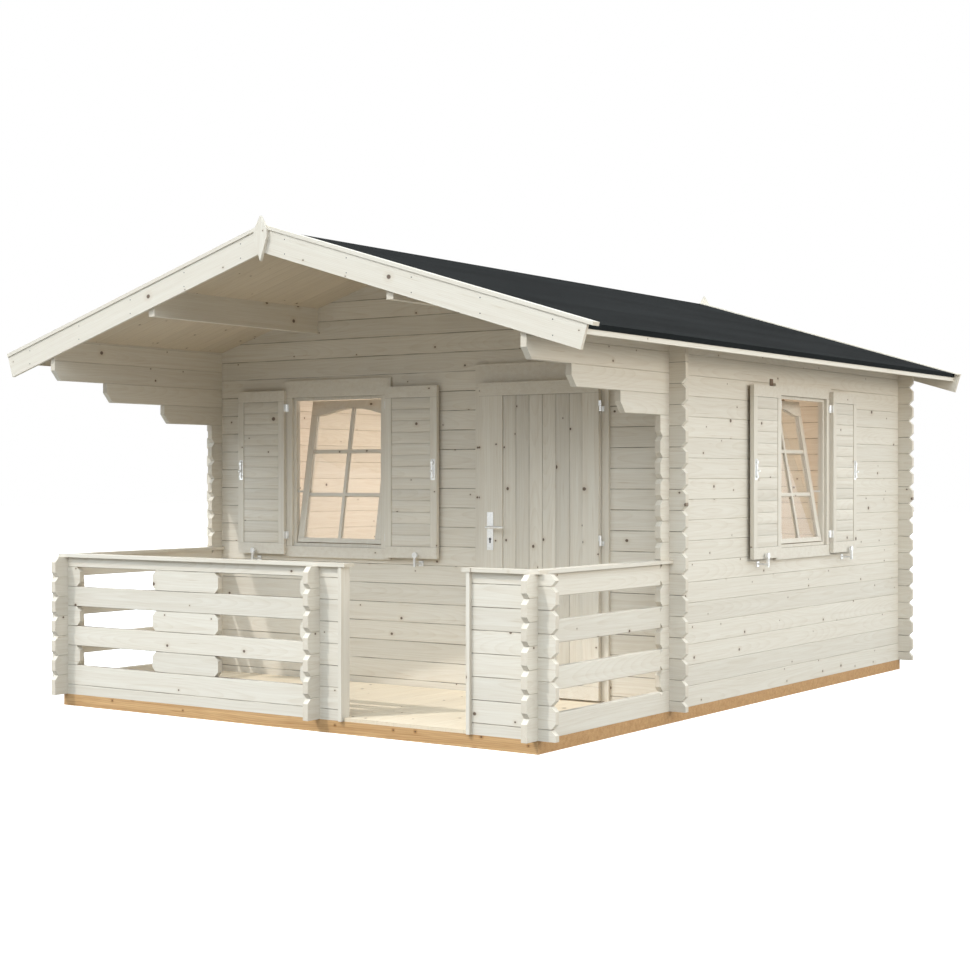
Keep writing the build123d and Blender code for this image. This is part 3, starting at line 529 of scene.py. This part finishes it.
def glazing_bars():
    sash_tilt, sash_foot, sash_thickness, set_back = math.radians(9.8), 0.970, 0.034, 0.005
    bar_half, pane_half, pane_foot, pane_crown = 0.012, 0.2905, 0.0305, 0.8885
    arris, inset = 0.0025, 0.0002
    bars = []
    for outer, inner in ((0.004, 0.0148), (0.0192, 0.030)):
        bars.append(slab('upright', (-bar_half, outer, pane_foot), (bar_half, inner, pane_crown),
                         arris))
        for third in (1, 2):
            level = pane_foot + (pane_crown - pane_foot) * third / 3
            bars.append(slab('level', (-pane_half, outer + inset, level - bar_half),
                             (pane_half, inner - inset, level + bar_half), arris))
    for bar in bars:
        bar.select_set(True)
        bar.rotation_euler = (-sash_tilt, 0, 0)
        bar.location = (0, set_back, sash_foot + sash_thickness * math.sin(sash_tilt))
    bpy.ops.object.transform_apply(location=True, rotation=True, scale=True)
    return bars


level_front = timber('Level boards front', (1, 0, 0), (0, 0, 1), spruce_pale, spruce_late)
level_side = timber('Level boards side', (0, 1, 0), (0, 0, 1), spruce_pale, spruce_late)
bars = at_windows('glazing_bars', glazing_bars,
                  {'upright': (upright, upright), 'level': (level_front, level_side)})
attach(bars, 'cabin')


# Shutter facing: thirteen level tongued boards let into the frame of every shutter. Their
# arrises are taken off, so that every joint shows as a V.
shutter_pitch, shutter_gap, shutter_foot = 0.0715, 0.0012, 0.9665


def shutter_rows():
    board_length, face, back, arris = 0.301, -0.0445, -0.0402, 0.0016
    rows = []
    for left in (0.4635, -0.7645):
        first = slab('level', (left, face, shutter_foot),
                     (left + board_length, back, shutter_foot + shutter_pitch - shutter_gap),
                     arris)
        rows.append(rowed(first, 13, (0, 0, shutter_pitch)))
    return rows


rows_front, rows_side = (
    timber(f'Shutter boards {name}', along, (0, 0, 1), spruce_pale, spruce_late, knots=0.5,
           width=shutter_pitch, shift=shutter_foot - 0.0005, tone=0.10, seam=0.25)
    for name, along in (('front', (1, 0, 0)), ('side', (0, 1, 0))))
boards = at_windows('shutter_boards', shutter_rows, {'level': (rows_front, rows_side)})
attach(boards, 'cabin')


# Slide bolts: a pressed plate on the outer stile of every shutter, two straps, and a round bolt
# with a knob, all zinc plated. Two screws hold each plate.
def slide_bolts():
    stile_x, plate_half, plate_back, plate_face = 0.785, 0.015, -0.048, -0.0498
    plate_foot, plate_head = 1.382, 1.512
    rod_radius, rod_length, rod_y, rod_z = 0.005, 0.116, -0.0565, 1.450
    strap_half, strap_rise, strap_face, strap_back = 0.0095, 0.008, -0.0635, -0.0495
    knob_radius, knob_y, knob_z, knob_stretch = 0.008, -0.068, 1.438, 1.15
    parts = []
    for x in (stile_x, -stile_x):
        parts.append(slab('metal', (x - plate_half, plate_face, plate_foot),
                          (x + plate_half, plate_back, plate_head), 0.0008))
        bpy.ops.mesh.primitive_cylinder_add(vertices=24, radius=rod_radius, depth=rod_length,
                                            location=(x, rod_y, rod_z))
        rod = bpy.context.object
        rod.name = 'metal'
        bpy.ops.object.transform_apply(location=True, rotation=False, scale=True)
        parts.append(bevelled(rod, 0.0012))
        for z in (1.403, 1.491):
            parts.append(slab('metal', (x - strap_half, strap_face, z - strap_rise),
                              (x + strap_half, strap_back, z + strap_rise), 0.0030))
        bpy.ops.mesh.primitive_uv_sphere_add(segments=20, ring_count=12, radius=knob_radius,
                                             location=(x, knob_y, knob_z))
        knob = bpy.context.object
        knob.name = 'metal'
        bpy.ops.object.mode_set(mode='EDIT')
        bpy.ops.mesh.select_all(action='SELECT')
        bpy.ops.transform.resize(value=(1, knob_stretch, 1))
        bpy.ops.object.mode_set(mode='OBJECT')
        bpy.ops.object.transform_apply(location=True, rotation=False, scale=False)
        parts.append(knob)
        for z in (plate_foot + 0.007, plate_head - 0.007):
            head = screw((x, plate_face, z), (0, -1, 0))
            head.name = 'metal'
            parts.append(head)
    return parts


bolts = at_windows('slide_bolts', slide_bolts, {'metal': (steel, steel)})
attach(bolts, 'cabin')


# Block: a small offcut of wood, nailed flat on the right wall under the eave, beside the casing
# of the window. Its dark colour is painted shade: the thin plate stands in for the shaded side
# face of a thicker block.
block_shade_pale, block_shade_late = (0.20, 0.14, 0.10), (0.12, 0.08, 0.05)
block = slab('wall_block', (1.7152, 0.188, 1.974), (1.7195, 0.232, 2.018), 0.0015)
painted(block, timber('Block', (0, 1, 0), (0, 0, 1), block_shade_pale, block_shade_late))
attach(joined('wall_block', [block]), 'cabin')


# Nails: round wire nails through the bargeboards into the roof boards, in five pairs along
# every board, front and back. Their heads are dark and stand out a little.
def nail_head(at, facing):
    head_radius, thickness, edge = 0.0034, 0.0014, 0.0006
    bpy.ops.mesh.primitive_cylinder_add(vertices=16, radius=head_radius, depth=thickness)
    head = bevelled(bpy.context.object, edge)
    head.rotation_mode = 'QUATERNION'
    head.rotation_quaternion = Vector(facing).to_track_quat('Z', 'Y')
    head.location = at
    bpy.ops.object.transform_apply(location=True, rotation=True, scale=True)
    return painted(head, dark_steel)


first_pair, pair_step, ridge_edge, barge_face = 0.16, 0.43, 2.7794, 2.6850
heads = []
for facing in (-1, 1):
    for side in (1, -1):
        for count in range(5):
            x = first_pair + pair_step * count
            edge = ridge_edge - x * math.tan(roof_pitch)
            for drop in (0.028, 0.108):
                heads.append(nail_head((side * x, facing * barge_face, edge - drop),
                                       (0, facing, 0)))
nails = joined('bargeboard_nails', heads)
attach(nails, 'cabin')


# Studio: a pale floor under a white sky, a soft sun from the front left, a low broad fill from
# the right, and two lamps in the room. Floor and sky look white but throw back tinted light.
def directly_seen(tree):
    """1 for what the camera sees, also in metal and through glass."""
    rays = add(tree, 'ShaderNodeLightPath').outputs
    return sum_up(tree, 'MAXIMUM', rays['Is Camera Ray'],
                  sum_up(tree, 'MAXIMUM', rays['Is Glossy Ray'], rays['Is Transmission Ray']))


bpy.ops.mesh.primitive_plane_add(size=120, location=(0, 0, 0))
floor = bpy.context.object
floor.name = 'studio_floor'
paper = bpy.data.materials.new('Pale floor')
paper.use_nodes = True
tree = paper.node_tree
watched = directly_seen(tree)
feed(tree, tree.nodes['Principled BSDF'], {
    'Base Color': blend(tree, watched, (0.19, 0.18, 0.16, 1), (0.9, 0.9, 0.9, 1)),
    'Emission Strength': ramp(tree, watched, 0.0, 1.0, 0.0, 0.45),
    'Emission Color': (1, 1, 1, 1), 'Roughness': 0.9})
floor.data.materials.append(paper)

world = bpy.context.scene.world or bpy.data.worlds.new('Sky')
bpy.context.scene.world = world
world.use_nodes = True
tree = world.node_tree
seen = directly_seen(tree)
towards = add(tree, 'ShaderNodeSeparateXYZ',
              {0: add(tree, 'ShaderNodeTexCoord').outputs['Generated']}).outputs
# The sky gives least light from the horizon, from the right and from straight above.
sky = sum_up(tree, 'MULTIPLY', ramp(tree, towards[2], 0.12, 0.34, 0.12, 2.70),
             ramp(tree, towards[0], 0.25, 0.85, 1.0, 0.55))
sky = sum_up(tree, 'MULTIPLY', sky, ramp(tree, towards[2], 0.72, 0.95, 1.0, 0.35))
feed(tree, tree.nodes['Background'], {
    'Color': blend(tree, seen, (0.84, 0.93, 1.0, 1), (1, 1, 1, 1)),
    'Strength': add(tree, 'ShaderNodeMix', {0: seen, 2: sky, 3: 1.0},
                    data_type='FLOAT').outputs[0]})


def lamp(name, kind, at, towards, energy, colour, **settings):
    data = bpy.data.lights.new(name, kind)
    data.energy, data.color = energy, colour
    for key, value in settings.items():
        setattr(data, key, value)
    made = bpy.data.objects.new(name, data)
    bpy.context.scene.collection.objects.link(made)
    made.location = at
    made.rotation_euler = (Vector(towards) - Vector(at)).to_track_quat('-Z', 'Y').to_euler()


lamp('sun', 'SUN', (-6.8, -10.9, 15.3), (0, 0, 0), 1.6, (1.0, 0.97, 0.93), angle=0.02)
lamp('low fill', 'AREA', (9.5, 0, 3.2), (0, 0, 3.2), 335, (1.0, 0.95, 0.86),
     shape='RECTANGLE', size=10, size_y=2.2)
lamp('room', 'AREA', (0, 0.6, 2.2), (0, 0.6, 0), 40, (1.0, 0.89, 0.83), shape='RECTANGLE',
     size=2, size_y=2)
lamp('window light', 'AREA', (1.3, 0.7, 0.7), (-1.7, 0.3, 0.8), 19, (0.97, 0.98, 1.0),
     shape='RECTANGLE', size=0.7, size_y=0.7)

# The camera stands level, where the straight edges of walls and roof place the photograph's.
# The shifts move the picture instead of turning the lens.
camera = bpy.data.objects.new('camera', bpy.data.cameras.new('camera'))
bpy.context.scene.collection.objects.link(camera)
camera.location = (6.484, -10.197, 1.395)
camera.rotation_euler = (math.radians(90), 0, math.radians(35.586))
camera.data.sensor_width = 36
camera.data.lens = 66.255
camera.data.shift_x, camera.data.shift_y = 0.0617, -0.00733
bpy.context.scene.camera = camera
bpy.context.scene.view_settings.view_transform = 'Standard'

bpy.context.view_layer.update()
